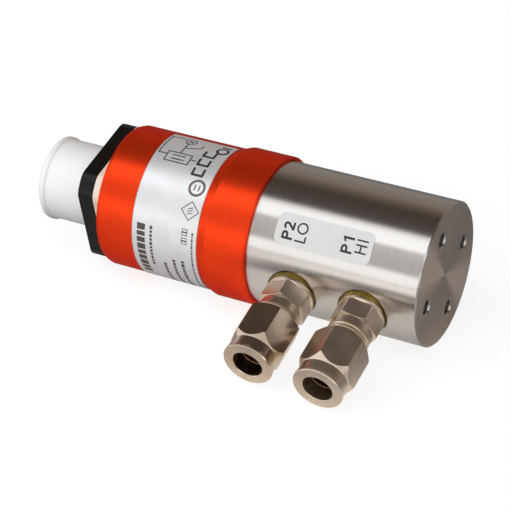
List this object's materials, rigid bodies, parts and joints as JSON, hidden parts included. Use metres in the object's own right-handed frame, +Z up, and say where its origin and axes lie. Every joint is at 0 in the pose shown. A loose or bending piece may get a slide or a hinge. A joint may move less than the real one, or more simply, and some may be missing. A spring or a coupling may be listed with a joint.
{
  "type": "wet differential pressure sensor",
  "caption": "Wet differential pressure sensor: steel body with compression unions for the high and low side tubes, red sleeve, square plug base under a white cap",
  "frame": {"origin": "Centre of the flat end face that has the tapped holes", "axes": "+X is the body axis and points out of the end face, +Z is up as the sensor lies on a table, +Y points away from the tube unions"},
  "size_m": [0.1195, 0.0693, 0.0422],
  "materials": {
    "steel": "turned stainless steel, fine lathe marks",
    "cell_steel": "fine turned stainless steel",
    "nickel": "nickel plated, slightly warm",
    "seal": "passivated seal ring",
    "red_sleeve": "red-orange anodised, satin",
    "label": "silver foil label",
    "white_label": "white label",
    "black_plastic": "black glass-filled plastic, satin",
    "gasket": "cream silicone",
    "cap": "translucent white polyethylene",
    "contact": "tinned contact",
    "o_ring": "black rubber",
    "bead": "green sealing glass",
    "pin": "gold plated pin",
    "board": "green circuit board",
    "chip": "black moulded chip",
    "can": "plain can",
    "trimmer": "blue trimmer",
    "header": "cream connector",
    "cell_wire": "amber film lead",
    "plug_wire": "yellow lead"
  },
  "bodies": {
    "sensor": {"pressure_body": "steel", "pressure_cell": "cell_steel", "diaphragm_hi": "cell_steel", "diaphragm_lo": "cell_steel", "cell_o_ring": "o_ring", "chamber_plug": "cell_steel", "chamber_o_ring": "o_ring", "glass_beads": "bead", "cell_pins": "pin", "clamp_ring": "steel", "spigot_o_ring": "o_ring", "housing_sleeve": "red_sleeve", "sleeve_label": "label", "port_label": "white_label", "board_carrier": "black_plastic", "circuit_board": "board", "amplifier_chip": "chip", "regulator_chip": "chip", "filter_capacitor": "can", "zero_trimmer": "trimmer", "span_trimmer": "trimmer", "lead_header": "header", "cell_leads": "cell_wire", "plug_leads": "plug_wire", "plug_base": "black_plastic", "base_gasket": "gasket", "base_screws": "contact", "contact_blade_1": "contact", "contact_blade_2": "contact", "contact_blade_3": "contact", "earth_blade": "contact", "union_stud_hi": "nickel", "seal_ring_hi": "seal", "union_stud_lo": "nickel", "seal_ring_lo": "seal"},
    "cap": {"protective_cap": "cap"},
    "olive_hi": {"ferrule_hi": "nickel"},
    "nut_hi": {"union_nut_hi": "nickel"},
    "olive_lo": {"ferrule_lo": "nickel"},
    "nut_lo": {"union_nut_lo": "nickel"}
  },
  "joints": [
    {"name": "cap_pull", "type": "slide", "parent": "sensor", "child": "cap", "axis": [-1, 0, 0], "range_m": [0, 0.022]},
    {"name": "nut_hi_travel", "type": "slide", "parent": "sensor", "child": "olive_hi", "axis": [0, -0.9629, -0.2699], "range_m": [-0.0013, 0.0027]},
    {"name": "nut_hi_turn", "type": "hinge", "parent": "olive_hi", "child": "nut_hi", "pos_m": [-0.01522, -0.03852, -0.0108], "axis": [0, -0.9629, -0.2699], "range_deg": [-468, 972]},
    {"name": "nut_lo_travel", "type": "slide", "parent": "sensor", "child": "olive_lo", "axis": [0, -0.9629, -0.2699], "range_m": [0, 0.004]},
    {"name": "nut_lo_turn", "type": "hinge", "parent": "olive_lo", "child": "nut_lo", "pos_m": [-0.03581, -0.03852, -0.0108], "axis": [0, -0.9629, -0.2699], "range_deg": [0, 1440]}
  ],
  "couplings": [
    {"joint": "nut_hi_travel", "follows": "nut_hi_turn", "m_per_rad": 0.00015915},
    {"joint": "nut_lo_travel", "follows": "nut_lo_turn", "m_per_rad": 0.00015915}
  ]
}
